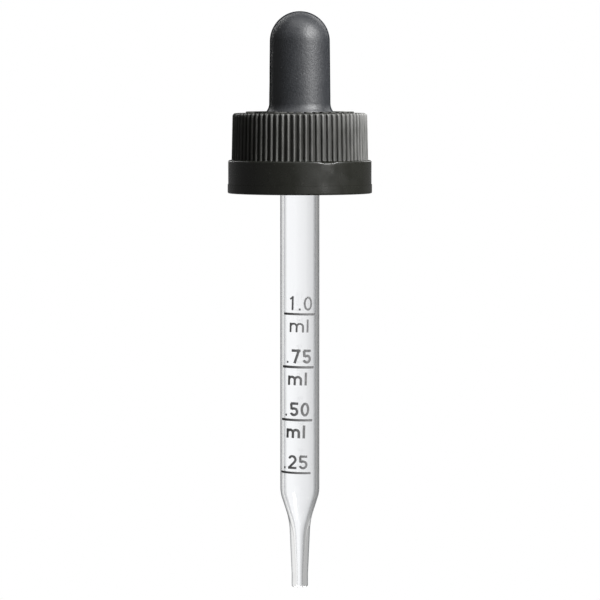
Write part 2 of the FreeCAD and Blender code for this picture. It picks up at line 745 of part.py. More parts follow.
PARTS = {
    "outer_shell": outer_shell,
    "inner_cap": inner_cap,
    "spring_fingers": spring_fingers,
    "squeeze_bulb": squeeze_bulb,
    "bulb_collar": bulb_collar,
    "glass_pipette": glass_pipette,
    "graduation_lines": graduation_lines,
    "graduation_numerals": graduation_numerals,
}


def main():
    os.makedirs("parts", exist_ok=True)
    for name, make in PARTS.items():
        shape = make()
        shape.exportStep(f"parts/{name}.step")
        print(name, len(shape.Solids), "solid(s)", round(shape.Volume, 2), "mm3", shape.isValid())


main()
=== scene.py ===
import math

import bmesh
import bpy
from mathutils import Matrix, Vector, noise


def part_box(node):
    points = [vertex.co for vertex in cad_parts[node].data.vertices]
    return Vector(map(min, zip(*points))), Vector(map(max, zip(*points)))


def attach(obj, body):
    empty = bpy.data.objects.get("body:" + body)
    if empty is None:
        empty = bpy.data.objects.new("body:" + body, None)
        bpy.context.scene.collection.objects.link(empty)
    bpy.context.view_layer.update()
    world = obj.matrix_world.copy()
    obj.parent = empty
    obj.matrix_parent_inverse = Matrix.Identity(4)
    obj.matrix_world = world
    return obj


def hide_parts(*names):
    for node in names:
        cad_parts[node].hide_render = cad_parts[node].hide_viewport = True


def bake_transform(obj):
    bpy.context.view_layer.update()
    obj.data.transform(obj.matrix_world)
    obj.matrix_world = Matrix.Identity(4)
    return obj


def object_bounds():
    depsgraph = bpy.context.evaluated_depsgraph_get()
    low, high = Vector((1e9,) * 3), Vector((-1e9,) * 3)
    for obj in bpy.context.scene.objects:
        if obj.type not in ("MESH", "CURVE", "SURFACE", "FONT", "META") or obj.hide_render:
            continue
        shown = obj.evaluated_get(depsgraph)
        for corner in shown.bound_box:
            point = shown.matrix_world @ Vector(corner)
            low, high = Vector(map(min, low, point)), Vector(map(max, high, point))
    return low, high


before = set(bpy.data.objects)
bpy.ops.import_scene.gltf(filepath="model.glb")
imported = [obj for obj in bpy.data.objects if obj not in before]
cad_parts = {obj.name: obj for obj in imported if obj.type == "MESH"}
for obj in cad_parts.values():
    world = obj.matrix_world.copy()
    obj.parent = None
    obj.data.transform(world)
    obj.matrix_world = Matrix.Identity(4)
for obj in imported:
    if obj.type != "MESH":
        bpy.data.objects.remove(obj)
cad_low, cad_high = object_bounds()

# Lengths below are in millimetres from the sealing face, as in the CAD; meshes are made in metres.
# Directions are in degrees, anticlockwise from +X seen from above.
MM = 0.001


def height_of(node):
    """Lowest and highest point of a CAD node, in millimetres."""
    low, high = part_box(node)
    return low.z / MM, high.z / MM


def radius_of(node):
    """Largest radius of a CAD node that stays inside its box both ways, in millimetres."""
    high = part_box(node)[1]
    return min(high.x, high.y) / MM


TIP, PIPETTE_TOP = height_of("glass_pipette")
SHELL_BOTTOM, MARK_TOP = height_of("outer_shell")
COLLAR_TOP, BULB_TOP = height_of("squeeze_bulb")

# ---- glass ----
BARREL_RADIUS = 3.5
BORE_RADIUS = 2.9
GRIP_RADIUS = 3.7
GRIP_START = 0.4
TIP_RADIUS = 1.46
TIP_BORE_RADIUS = 0.45
TIP_STRAIGHT = 2.4
SHOULDER = TIP + 18.0
SHOULDER_CURVE = 6.1
NECK_CURVE = 13.0
CONE_ANGLE = math.radians(18.0)
TAPER_ANGLE = math.radians(2.6)
RIM_ROUND = 0.28
DRAWN_LENGTH = 22
OUT_OF_ROUND = 0.004
END_TILT = 0.03

# ---- bulb ----
BULB_BASE_RADIUS = 5.97
FLARE_BOTTOM = 5.75
FLARE_TOP = 7.2
WALL_FOOT_RADIUS = 5.48
BULB_RADIUS = 5.36
BULB_WALL = 1.2
DOME = BULB_TOP - BULB_RADIUS
GLASS_CLEARANCE = 0.05
GLASS_STOP = 0.3
HOLLOW_START = 1.1
LUMP_DEPTH = 0.03
LUMPS_PER_MM = 0.22

# ---- shell ----
SHELL_TOP = 5.45
HOLE_RADIUS = 6.3
CEILING = 4.3
RIB_COUNT = 72
RIB_HEIGHT = 0.42
RIB_HALF_ANGLE = 1.4
CREST_AT_TOP = 12.02
CREST_AT_BAND = 12.2
TOP_EDGE_ROUND = 0.55
HOLE_EDGE_ROUND = 0.18
BAND_TOP = -2.95
BAND_RADIUS = 12.8
BAND_CORNER = 0.25
RIB_FILLET = 0.14
DIP_DIRECTION = -66.8
DIP_HALF_SPAN = 8.4
DIP_DEPTH = 0.3
DIP_REACH = 0.5
WAIST = -7.1
WAIST_STEP = WAIST - 0.145
RIM_RADIUS = radius_of("outer_shell")
BORE_OF_SHELL = 10.95
POCKET_RADIUS = 11.75
BEAD_RADIUS = 11.3
BEAD_TOP = -7.55
BEAD_ROUND = 0.2

# ---- raised marks on the shell ----
MARK_INNER = 7.5
MARK_OUTER = 9.65
BARS = 12
BAR_PITCH = 9.6
WIDE_BAR = 3.2
NARROW_BAR = 2.1
ARROW_INNER = 8.2
ARROW_OUTER = 8.95
ARROW_HEAD = 1.9
ARROW_START = -19
ARROW_END = 18


# ---- mesh helpers ----


def bend(centre, radius, start, end, steps):
    """Points on an arc of an outline, angles in degrees from the radial direction."""
    points = []
    for i in range(steps + 1):
        turn = math.radians(start + (end - start) * i / steps)
        points.append((centre[0] + radius * math.cos(turn), centre[1] + radius * math.sin(turn)))
    return points


def run(start, end, steps):
    """Points evenly along a straight stretch, without its last point."""
    return [
        (
            start[0] + (end[0] - start[0]) * i / steps,
            start[1] + (end[1] - start[1]) * i / steps,
        )
        for i in range(steps)
    ]


def mesh_object(name, vertices, faces):
    """A smoothly shaded piece from points in millimetres."""
    mesh = bpy.data.meshes.new(name)
    mesh.from_pydata([[c * MM for c in v] for v in vertices], [], faces)
    mesh.validate()
    mesh.polygons.foreach_set("use_smooth", [True] * len(mesh.polygons))
    piece = bpy.data.objects.new(name, mesh)
    bpy.context.scene.collection.objects.link(piece)
    return piece


def turned(name, outline, angles, shape):
    """The skin of a closed outline turned about the axis. shape moves each point outwards and up."""
    vertices = []
    rings = []
    for radius, height in outline:
        if radius == 0.0:
            rings.append([len(vertices)])
            vertices.append((0, 0, height))
            continue
        ring = []
        for angle in angles:
            r, z = shape(radius, angle, height)
            ring.append(len(vertices))
            vertices.append((r * math.cos(angle), r * math.sin(angle), z))
        rings.append(ring)
    faces = []
    count = len(angles)
    for k, a in enumerate(rings):
        b = rings[(k + 1) % len(rings)]
        if len(a) == 1 and len(b) == 1:
            continue
        for i in range(count):
            j = (i + 1) % count
            quad = [a[i % len(a)], a[j % len(a)], b[j % len(b)], b[i % len(b)]]
            faces.append(list(dict.fromkeys(quad)))
    return mesh_object(name, vertices, faces)


def even_angles(count):
    """Directions in radians, evenly round the axis."""
    return [2 * math.pi * i / count for i in range(count)]


def keep_edges_sharp(piece, degrees):
    """Smooth shading except where two faces meet at more than this angle."""
    piece.data.set_sharp_from_angle(angle=math.radians(degrees))


def outward(piece):
    """Turns the faces of a closed mesh to the outside."""
    work = bmesh.new()
    work.from_mesh(piece.data)
    bmesh.ops.recalc_face_normals(work, faces=work.faces)
    work.to_mesh(piece.data)
    work.free()


# ---- glass pipette ----


def drawn_outline(barrel, tip):
    """The outline of the drawn-down end, from the shoulder to the straight tip."""
    straight_top = TIP + TIP_STRAIGHT
    cone = math.degrees(CONE_ANGLE)
    taper = math.degrees(TAPER_ANGLE)
    shoulder = bend((barrel - SHOULDER_CURVE, SHOULDER), SHOULDER_CURVE, 0, -cone, 12)
    neck_drop = NECK_CURVE * (math.sin(CONE_ANGLE) - math.sin(TAPER_ANGLE))
    neck_shrink = NECK_CURVE * (math.cos(TAPER_ANGLE) - math.cos(CONE_ANGLE))
    height_left = shoulder[-1][1] - neck_drop - straight_top
    shrink_left = shoulder[-1][0] - neck_shrink - tip
    slope = math.tan(CONE_ANGLE) - math.tan(TAPER_ANGLE)
    cone_length = (shrink_left - height_left * math.tan(TAPER_ANGLE)) / slope
    cone_end = (
        shoulder[-1][0] - cone_length * math.tan(CONE_ANGLE),
        shoulder[-1][1] - cone_length,
    )
    neck_centre = (
        cone_end[0] + NECK_CURVE * math.cos(CONE_ANGLE),
        cone_end[1] - NECK_CURVE * math.sin(CONE_ANGLE),
    )
    neck = bend(neck_centre, NECK_CURVE, 180 - cone, 180 - taper, 16)
    return shoulder + run(shoulder[-1], cone_end, 4)[1:] + neck + run(neck[-1], (tip, straight_top), 8)[1:]


def glass_pipette():
    """The whole tube as one closed skin: outside, rounded tip, bore and rounded top."""
    wall_tip = (TIP_RADIUS - TIP_BORE_RADIUS) / 2
    wall_top = (GRIP_RADIUS - BORE_RADIUS) / 2
    tip_end = [
        (TIP_RADIUS - wall_tip + wall_tip * math.cos(a), TIP + RIM_ROUND * (1 + math.sin(a)))
        for a in [-math.pi * i / 10 for i in range(11)]
    ]
    top_end = [
        (GRIP_RADIUS - wall_top - wall_top * math.cos(a), PIPETTE_TOP - RIM_ROUND * (1 - math.sin(a)))
        for a in [math.pi * i / 8 for i in range(9)]
    ]
    outline = run((BARREL_RADIUS, 0), (BARREL_RADIUS, SHOULDER), 24)
    outline += drawn_outline(BARREL_RADIUS, TIP_RADIUS)
    outline += run((TIP_RADIUS, TIP + TIP_STRAIGHT), (TIP_RADIUS, TIP + RIM_ROUND), 4)
    outline += tip_end
    outline += run((TIP_BORE_RADIUS, TIP + RIM_ROUND), (TIP_BORE_RADIUS, TIP + TIP_STRAIGHT), 4)[1:]
    outline += list(reversed(drawn_outline(BORE_RADIUS, TIP_BORE_RADIUS)))
    outline += run((BORE_RADIUS, SHOULDER), (BORE_RADIUS, PIPETTE_TOP - RIM_ROUND), 24)[1:]
    outline += top_end
    outline += [(GRIP_RADIUS, GRIP_START)]

    def drawn_by_hand(radius, angle, height):
        """Real drawn glass is a little out of round and its end is never quite square."""
        near_tip = max(0.0, min(1.0, (TIP + DRAWN_LENGTH - height) / DRAWN_LENGTH))
        waver = 1 + OUT_OF_ROUND * near_tip * math.sin(2 * angle + height * 0.4)
        return radius * waver, height + END_TILT * near_tip**6 * (1 + math.cos(angle + 0.7))

    piece = turned("glass_tube", outline, even_angles(144), drawn_by_hand)
    outward(piece)
    return piece


# ---- bulb ----


def rubber_bulb():
    """The bulb as a hollow closed skin, with the faint lumps of a dipped or moulded rubber part."""
    rise = FLARE_TOP - FLARE_BOTTOM
    width = BULB_BASE_RADIUS - WALL_FOOT_RADIUS
    curve = (rise**2 + width**2) / (2 * width)
    turn = math.degrees(math.asin(rise / curve))
    hollow = BULB_RADIUS - BULB_WALL
    bore = GRIP_RADIUS + GLASS_CLEARANCE
    hollow_foot = PIPETTE_TOP + HOLLOW_START
    flare = bend((WALL_FOOT_RADIUS + curve, FLARE_TOP), curve, 180 + turn, 180, 14)
    dome = bend((0, DOME), BULB_RADIUS, 0, 90, 28)
    inner_dome = bend((0, DOME), hollow, 90, 0, 16)
    outline = run((BULB_BASE_RADIUS, COLLAR_TOP), flare[0], 6) + flare
    outline += run(flare[-1], dome[0], 30)[1:] + dome[:-1]
    outline += [(0.0, BULB_TOP), (0.0, DOME + hollow)]
    outline += inner_dome[1:] + run(inner_dome[-1], (hollow, hollow_foot), 24)[1:]
    outline += [(hollow, hollow_foot), (bore, PIPETTE_TOP + GLASS_STOP), (bore, COLLAR_TOP)]

    def lumpy(radius, angle, height):
        """Sinks the skin in shallow patches, and leaves the foot round."""
        place = Vector((radius * math.cos(angle), radius * math.sin(angle), height)) * LUMPS_PER_MM
        above_foot = min(1.0, max(0.0, (height - FLARE_BOTTOM) / 3))
        return radius - max(0.0, noise.noise(place)) * LUMP_DEPTH * above_foot, height

    piece = turned("rubber_bulb", outline, even_angles(160), lumpy)
    outward(piece)
    keep_edges_sharp(piece, 50)
    return piece


# ---- shell ----


def crest_radius(height):
    """How far out the ribs reach at a height, below the rounded top edge."""
    share = (SHELL_TOP - height) / (SHELL_TOP - BAND_TOP)
    return CREST_AT_TOP + (CREST_AT_BAND - CREST_AT_TOP) * share


def rounded_edge(height):
    """How far out the rounded top edge lets a rib reach."""
    above = height - (SHELL_TOP - TOP_EDGE_ROUND)
    if above <= 0:
        return math.inf
    return CREST_AT_TOP - TOP_EDGE_ROUND + math.sqrt(max(0.0, TOP_EDGE_ROUND**2 - above**2))


def rib_angles():
    """Directions of the mesh: close together on each rib, wider apart in the grooves."""
    half_rib = [0.2, 0.6, 0.95, 1.25, RIB_HALF_ANGLE]
    groove = [1.9, 2.5, 3.1]
    spots = [-spot for spot in reversed(half_rib)] + half_rib + groove
    pitch = 360.0 / RIB_COUNT
    return [math.radians(pitch * i + spot) for i in range(RIB_COUNT) for spot in spots]


def rib_rise(angle):
    """Height of the ribs' round cross-section at a direction, as a share of the full height."""
    pitch = 2 * math.pi / RIB_COUNT
    off = (angle + pitch / 2) % pitch - pitch / 2
    share = min(1.0, abs(math.degrees(off)) / RIB_HALF_ANGLE)
    return math.sqrt(max(0.0, 1 - share**2))


def dip_at(angle):
    """Depth of the shallow hollow in the band's upper edge."""
    off = math.degrees(angle) % 360 - (360 + DIP_DIRECTION)
    if abs(off) > DIP_HALF_SPAN:
        return 0.0
    return DIP_DEPTH * (1 - (off / DIP_HALF_SPAN) ** 2)


def band_outline():
    """The rim, the step at the waist and the smooth band, with a point close to each sharp turn."""
    rim_low = SHELL_BOTTOM + BAND_CORNER
    outline = bend((RIM_RADIUS - BAND_CORNER, rim_low), BAND_CORNER, -90, 0, 6)
    outline += [(RIM_RADIUS, rim_low + 0.1), (RIM_RADIUS, WAIST - 0.2), (RIM_RADIUS, WAIST - 0.15)]
    outline += [(BAND_RADIUS, WAIST - 0.14), (BAND_RADIUS, WAIST - 0.09), (BAND_RADIUS, WAIST + 0.1)]
    outline += run((BAND_RADIUS, WAIST + 0.35), (BAND_RADIUS, BAND_TOP - BAND_CORNER), 10)
    return outline + bend((BAND_RADIUS - BAND_CORNER, BAND_TOP - BAND_CORNER), BAND_CORNER, 0, 90, 8)


def groove_outline():
    """The bottom of a groove between two ribs, from the band's ledge to the rounded top edge."""
    foot = crest_radius(BAND_TOP) - RIB_HEIGHT + RIB_FILLET
    outline = [(foot + 0.3, BAND_TOP), (foot, BAND_TOP)]
    outline += bend((foot, BAND_TOP + RIB_FILLET), RIB_FILLET, -105, -175, 4)
    wall_low, wall_high = BAND_TOP + RIB_FILLET + 0.05, SHELL_TOP - TOP_EDGE_ROUND
    steps = 16
    for i in range(steps + 1):
        z = wall_low + (wall_high - wall_low) * i / steps
        outline.append((crest_radius(z) - RIB_HEIGHT, z))
    steps = 8
    for i in range(1, steps + 1):
        z = wall_high + TOP_EDGE_ROUND * math.sin(math.pi / 2 * i / steps)
        outline.append((min(crest_radius(z) - RIB_HEIGHT, rounded_edge(z)), z))
    return outline


def inner_outline():
    """The top, the hole for the bulb and the inside down to the bead and the open end."""
    edge = HOLE_RADIUS + HOLE_EDGE_ROUND
    outline = run((CREST_AT_TOP - TOP_EDGE_ROUND - 0.1, SHELL_TOP), (edge, SHELL_TOP), 8)
    outline += bend((edge, SHELL_TOP - HOLE_EDGE_ROUND), HOLE_EDGE_ROUND, 90, 180, 5)
    outline += [(HOLE_RADIUS, CEILING), (BORE_OF_SHELL - 0.2, CEILING), (BORE_OF_SHELL, CEILING - 0.2)]
    outline += [(BORE_OF_SHELL, BAND_TOP - 0.6), (POCKET_RADIUS, BAND_TOP - 1.4)]
    outline += [(POCKET_RADIUS, BEAD_TOP + 0.25)]
    outline += bend((BEAD_RADIUS + BEAD_ROUND, BEAD_TOP - 0.225), BEAD_ROUND, 120, 240, 6)
    return outline + [(POCKET_RADIUS - 0.1, SHELL_BOTTOM + 0.1), (POCKET_RADIUS, SHELL_BOTTOM)]


def closure_shell():
    """The black outer shell: ribbed skirt, smooth band, rim and retaining bead."""

    def moulded(radius, angle, height):
        """Raises the ribs out of the skirt, and sinks the hollow into the band's upper edge."""
        on_skirt = BAND_TOP + 0.02 < height <= SHELL_TOP and radius > CREST_AT_TOP - 0.7
        if on_skirt:
            crest = radius + RIB_HEIGHT * rib_rise(angle)
            return min(crest, max(radius, rounded_edge(height))), height
        dip_foot = BAND_TOP - DIP_REACH
        near_ledge = dip_foot < height <= BAND_TOP + 0.02 and radius > CREST_AT_BAND - 0.2
        if near_ledge:
            return radius, height - dip_at(angle) * (height - dip_foot) / DIP_REACH
        return radius, height

    outline = band_outline() + groove_outline() + inner_outline()
    piece = turned("closure_shell", outline, rib_angles(), moulded)
    outward(piece)
    keep_edges_sharp(piece, 40)
    return piece


def ring_block(inner, outer, bottom, top, start, end, steps=4):
    """A block that follows the ring between two directions, in degrees."""
    vertices = []
    for i in range(steps + 1):
        turn = math.radians(start + (end - start) * i / steps)
        for radius in (inner, outer):
            for height in (bottom, top):
                vertices.append((radius * math.cos(turn), radius * math.sin(turn), height))
    faces = [[0, 1, 3, 2], [4 * steps, 4 * steps + 2, 4 * steps + 3, 4 * steps + 1]]
    for i in range(steps):
        a, b = 4 * i, 4 * (i + 1)
        for p, q in ((0, 1), (1, 3), (3, 2), (2, 0)):
            faces.append([a + p, b + p, b + q, a + q])
    return vertices, faces


def arrow_head(start, base, top):
    """A triangle block that points round the ring from a direction in degrees."""
    middle = (ARROW_INNER + ARROW_OUTER) / 2
    turn = math.radians(start)
    ahead = Vector((-math.sin(turn), math.cos(turn)))
    out = Vector((math.cos(turn), math.sin(turn)))
    flat = [out * MARK_INNER, out * MARK_OUTER, out * middle + ahead * ARROW_HEAD]
    vertices = [(p.x, p.y, z) for z in (base, top) for p in flat]
    return vertices, [[0, 1, 2], [5, 4, 3], [0, 3, 4, 1], [1, 4, 5, 2], [2, 5, 3, 0]]


def raised_marks():
    """The moulded ring on the top: short bars with two arrows between them, edges softened."""
    base, top = SHELL_TOP - 0.1, MARK_TOP
    blocks = []
    for middle in (45, 225):
        start, end = middle + ARROW_START, middle + ARROW_END
        blocks.append(ring_block(ARROW_INNER, ARROW_OUTER, base, top, start, end, 12))
        blocks.append(arrow_head(end, base, top))
    for first_bar in (80, 260):
        for i in range(BARS):
            half = WIDE_BAR if i % 3 else NARROW_BAR
            angle = first_bar + BAR_PITCH * i
            blocks.append(ring_block(MARK_INNER, MARK_OUTER, base, top, angle - half, angle + half))
    vertices = []
    faces = []
    for block_vertices, block_faces in blocks:
        first = len(vertices)
        vertices += block_vertices
        faces += [[first + i for i in face] for face in block_faces]
    piece = mesh_object("shell_raised_marks", vertices, faces)
    outward(piece)
    soften(piece, 0.07, 2)
    keep_edges_sharp(piece, 50)
    return piece


def soften(piece, width, steps):
    """Rounds the edges of a mesh and keeps the result in the mesh."""
    modifier = piece.modifiers.new("soft edges", "BEVEL")
    modifier.width = width * MM
    modifier.segments = steps
    modifier.limit_method = "ANGLE"
    modifier.angle_limit = math.radians(40)
    evaluated = piece.evaluated_get(bpy.context.evaluated_depsgraph_get())
    piece.data = bpy.data.meshes.new_from_object(evaluated)
    piece.modifiers.clear()
    piece.data.polygons.foreach_set("use_smooth", [True] * len(piece.data.polygons))


# ---- materials ----


class Graph:
    """Short names for adding to a node graph."""

    def __init__(self, tree):
        self.tree = tree

    def add(self, kind, **values):
        node = self.tree.nodes.new(kind)
        for key, value in values.items():
            setattr(node, key, value)
        return node

    def link(self, source, target):
        self.tree.links.new(source, target)

    def spread(self, source, low, high, to_low, to_high):
        """Maps a value from one range to another, clamped."""
        node = self.add("ShaderNodeMapRange")
        self.link(source, node.inputs["Value"])
        node.inputs["From Min"].default_value = low
        node.inputs["From Max"].default_value = high
        node.inputs["To Min"].default_value = to_low
        node.inputs["To Max"].default_value = to_high
        return node.outputs["Result"]


class Nodes(Graph):
    """A new material's node graph, whose lengths are in metres."""

    def __init__(self, name):
        self.material = bpy.data.materials.new(name)
        self.material.use_nodes = True
        super().__init__(self.material.node_tree)
        self.shader = self.tree.nodes["Principled BSDF"]
        self.place = self.add("ShaderNodeTexCoord").outputs["Object"]

    def feed(self, name, source):
        self.link(source, self.shader.inputs[name])

    def set(self, name, value):
        self.shader.inputs[name].default_value = value

    def turned_place(self):
        """Place to the right, distance from the axis and height, in metres."""
        parts = self.add("ShaderNodeSeparateXYZ")
        self.link(self.place, parts.inputs[0])
        flat = self.add("ShaderNodeCombineXYZ")
        self.link(parts.outputs["X"], flat.inputs["X"])
        self.link(parts.outputs["Y"], flat.inputs["Y"])
        length = self.add("ShaderNodeVectorMath", operation="LENGTH")
        self.link(flat.outputs[0], length.inputs[0])
        return parts.outputs["X"], length.outputs["Value"], parts.outputs["Z"]

    def grain(self, size_mm, detail=3.0, stretch=(1, 1, 1)):
        """Noise whose lumps are about this size, stretched along an axis if asked."""
        mapping = self.add("ShaderNodeMapping")
        self.link(self.place, mapping.inputs["Vector"])
        mapping.inputs["Scale"].default_value = [1 / (size_mm * MM) * s for s in stretch]
        texture = self.add("ShaderNodeTexNoise")
        self.link(mapping.outputs["Vector"], texture.inputs["Vector"])
        texture.inputs["Scale"].default_value = 1.0
        texture.inputs["Detail"].default_value = detail
        return texture.outputs["Fac"]

    def specks(self, size_mm, share):
        """Scattered small spots: 1 inside a spot, 0 elsewhere."""
        mapping = self.add("ShaderNodeMapping")
        self.link(self.place, mapping.inputs["Vector"])
        mapping.inputs["Scale"].default_value = [1 / (size_mm * MM)] * 3
        texture = self.add("ShaderNodeTexVoronoi")
        self.link(mapping.outputs["Vector"], texture.inputs["Vector"])
        texture.inputs["Scale"].default_value = 1.0
        return self.spread(texture.outputs["Distance"], share, share * 0.5, 0.0, 1.0)

    def spread_mm(self, length, low_mm, high_mm, to_low, to_high):
        """Maps a length to another range, where its own range is given in millimetres."""
        return self.spread(length, low_mm * MM, high_mm * MM, to_low, to_high)

    def math(self, operation, a, b=0.0):
        node = self.add("ShaderNodeMath", operation=operation)
        for socket, value in zip(node.inputs, (a, b)):
            if isinstance(value, (int, float)):
                socket.default_value = value
            else:
                self.link(value, socket)
        return node.outputs["Value"]

    def mix(self, factor, a, b):
        """Mixes two colours."""
        node = self.add("ShaderNodeMix", data_type="RGBA")
        for socket, value in ((node.inputs[0], factor), (node.inputs[6], a), (node.inputs[7], b)):
            if isinstance(value, (int, float)):
                socket.default_value = value
            elif isinstance(value, (tuple, list)):
                socket.default_value = (*value, 1.0)
            else:
                self.link(value, socket)
        return node.outputs[2]

    def bumps(self, layers):
        """Stacks bump layers, each a height source and its depth in millimetres."""
        normal = None
        for height, depth_mm in layers:
            node = self.add("ShaderNodeBump")
            node.inputs["Strength"].default_value = 1.0
            node.inputs["Distance"].default_value = depth_mm * MM
            self.link(height, node.inputs["Height"])
            if normal:
                self.link(normal, node.inputs["Normal"])
            normal = node.outputs["Normal"]
        self.feed("Normal", normal)

    def edge_on(self):
        """0 where a surface faces the eye, 1 where it is seen edge-on."""
        node = self.add("ShaderNodeLayerWeight")
        node.inputs["Blend"].default_value = 0.5
        return node.outputs["Facing"]


def shell_crests_and_painted_light(n, drag, place, above_ledge):
    """Lighter grey on the shell: rib crests, more near the top, with painted light on the right and
    painted shade on the left; painted highlights on the raised marks.
    """
    sideways, radius, height = place
    on_side = n.spread_mm(radius, CREST_AT_TOP - 0.9, CREST_AT_TOP - 0.5, 0.0, 1.0)
    taper = (CREST_AT_BAND - CREST_AT_TOP) / (SHELL_TOP - BAND_TOP)
    reach = n.math("ADD", radius, n.math("MULTIPLY", height, taper))
    on_edge = n.spread_mm(height, SHELL_TOP - TOP_EDGE_ROUND, SHELL_TOP, 0.0, 1.0)
    edge_drop = n.math("MULTIPLY", n.math("MULTIPLY", on_edge, on_edge), TOP_EDGE_ROUND * 0.6 * MM)
    reach = n.math("ADD", reach, edge_drop)
    full_reach = CREST_AT_TOP + SHELL_TOP * taper
    crest = n.spread_mm(reach, full_reach - 0.32, full_reach - 0.02, 0.18, 1.0)
    crest = n.math("MULTIPLY", crest, on_side)
    # Painted shade: the crests fade darker towards the left side.
    painted_left_shade = n.spread_mm(sideways, -9.5, -3, 0.08, 0.42)
    # Painted light: the ribs on the right side turn lighter grey.
    painted_right_light = n.math("MULTIPLY", n.spread_mm(sideways, 5.5, 10.5, 0.0, 0.72), on_side)
    upper = n.spread_mm(height, SHELL_TOP - 3.0, SHELL_TOP - 0.4, 0.82, 1.4)
    crests_and_side_light = n.math("MAXIMUM", n.math("MULTIPLY", crest, painted_left_shade), painted_right_light)
    crests_and_side_light = n.math("MULTIPLY", n.math("MULTIPLY", crests_and_side_light, upper), above_ledge)
    # Painted highlight: the tops of the raised marks turn lighter grey.
    marks = n.spread_mm(height, SHELL_TOP + 0.03, SHELL_TOP + 0.15, 0.0, 0.4)
    return n.math("MULTIPLY", n.math("MAXIMUM", crests_and_side_light, marks), n.spread(drag, 0.3, 0.65, 0.5, 1.0))


def shell_roughness(n, mottle, drag, height, above_ledge):
    """Smooth on the band, duller at its upper edge, and rough on the ribs and the top."""
    dulled = n.spread_mm(height, BAND_TOP - 0.35, BAND_TOP - 0.1, 0.0, 0.12)
    band_finish = n.math("ADD", n.spread(mottle, 0.3, 0.7, 0.22, 0.31), dulled)
    rib_finish = n.spread(drag, 0.3, 0.7, 0.45, 0.55)
    share = n.math("MULTIPLY", above_ledge, n.math("SUBTRACT", rib_finish, band_finish))
    return n.math("ADD", band_finish, share)


def shell_shine(n, height):
    """Strength of the gloss. It is almost none on faces that look up: the top, the ledge, the waist."""
    below_top = n.spread_mm(height, SHELL_TOP - 0.12, SHELL_TOP - 0.03, 1.0, 0.01)
    band_shine = n.spread_mm(height, BAND_TOP - 0.17, BAND_TOP - 0.04, 0.48, 0.0)
    rib_shine = n.spread_mm(height, BAND_TOP + 0.02, BAND_TOP + 0.12, 0.0, 0.3)
    off_waist = n.math("ABSOLUTE", n.math("SUBTRACT", height, WAIST_STEP * MM))
    band_shine = n.math("MULTIPLY", band_shine, n.spread_mm(off_waist, 0.008, 0.02, 0.0, 1.0))
    return n.math("MULTIPLY", n.math("MAXIMUM", band_shine, rib_shine), below_top)


def shell_plastic():
    """Black moulded polypropylene: glossy band, ribs with a rougher finish and lighter crests, painted
    light on the ribs' right side and painted highlights on the raised marks.
    """
    n = Nodes("closure_plastic")
    mottle = n.grain(2.4, 4.0)
    fine = n.grain(0.12, 3.0)
    drag = n.grain(0.5, 2.0, stretch=(1, 1, 0.12))
    dust = n.math("MULTIPLY", n.specks(0.9, 0.07), 0.4)
    place = n.turned_place()
    height = place[2]
    above_ledge = n.spread_mm(height, BAND_TOP - 0.05, BAND_TOP + 0.1, 0.0, 1.0)
    deep_black, soft_black = (0.0062, 0.0064, 0.0048), (0.0105, 0.0107, 0.0085)
    # The lighter grey carries painted light on the ribs' right side and painted highlights on the raised
    # marks.
    crest_and_painted_light_grey, dust_grey = (0.165, 0.165, 0.16), (0.08, 0.08, 0.075)
    colour = n.mix(mottle, deep_black, soft_black)
    colour = n.mix(shell_crests_and_painted_light(n, drag, place, above_ledge), colour, crest_and_painted_light_grey)
    n.feed("Base Color", n.mix(dust, colour, dust_grey))
    n.feed("Roughness", shell_roughness(n, mottle, drag, height, above_ledge))
    n.feed("Specular IOR Level", shell_shine(n, height))
    n.bumps([(mottle, 0.03), (drag, 0.006), (fine, 0.005)])
    return n.material


def inner_plastic():
    """Plain black polypropylene inside the closure."""
    n = Nodes("inner_plastic")
    mottle = n.grain(1.6, 3.0)
    deep_black, soft_black = (0.016, 0.016, 0.016), (0.03, 0.03, 0.029)
    n.feed("Base Color", n.mix(mottle, deep_black, soft_black))
    n.feed("Roughness", n.spread(mottle, 0.3, 0.7, 0.4, 0.55))
    n.bumps([(mottle, 0.02), (n.grain(0.15), 0.006)])
    return n.material


def bulb_rubber():
    """Matt black rubber: fine grain, faint bloom in patches, dust specks and tiny pits."""
    n = Nodes("bulb_rubber")
    bloom = n.grain(3.5, 4.0)
    grain = n.grain(0.22, 3.0)
    coarse = n.grain(0.6, 2.0)
    specks = n.specks(1.3, 0.06)
    pits = n.specks(0.8, 0.11)
    black, bloomed = (0.0095, 0.0105, 0.0125), (0.016, 0.017, 0.0195)
    grain_grey, dust_grey = (0.04, 0.042, 0.046), (0.2, 0.2, 0.2)
    colour = n.mix(bloom, black, bloomed)
    colour = n.mix(n.spread(grain, 0.4, 0.75, 0.0, 0.5), colour, grain_grey)
    colour = n.mix(n.math("MULTIPLY", specks, 0.55), colour, dust_grey)
    n.feed("Base Color", colour)
    n.feed("Roughness", n.spread(bloom, 0.3, 0.7, 0.44, 0.54))
    n.feed("Specular IOR Level", n.spread(n.edge_on(), 0.38, 0.74, 0.5, 0.0))
    n.bumps([(coarse, 0.026), (grain, 0.035), (n.math("SUBTRACT", 1.0, pits), 0.02)])
    return n.material


def clear_glass():
    """Clear drawn glass with faint draw lines; painted shade darkens the wall's colour where it is seen
    edge-on.
    """
    n = Nodes("pipette_glass")
    n.set("Transmission Weight", 1.0)
    n.set("IOR", 1.47)
    draw = n.grain(0.6, 2.0, stretch=(1, 1, 0.02))
    smear = n.grain(4.0, 4.0)
    n.feed("Roughness", n.spread(smear, 0.55, 0.8, 0.0, 0.03))
    n.bumps([(draw, 0.003), (n.grain(7.0, 2.0), 0.02)])
    # Painted shade: the glass turns grey where its wall is seen edge-on.
    rim = n.spread(n.edge_on(), 0.4, 0.66, 0.0, 1.0)
    clear, painted_edge_shade = (0.99, 0.993, 0.992), (0.3, 0.31, 0.32)
    n.feed("Base Color", n.mix(rim, clear, painted_edge_shade))
    return n.material


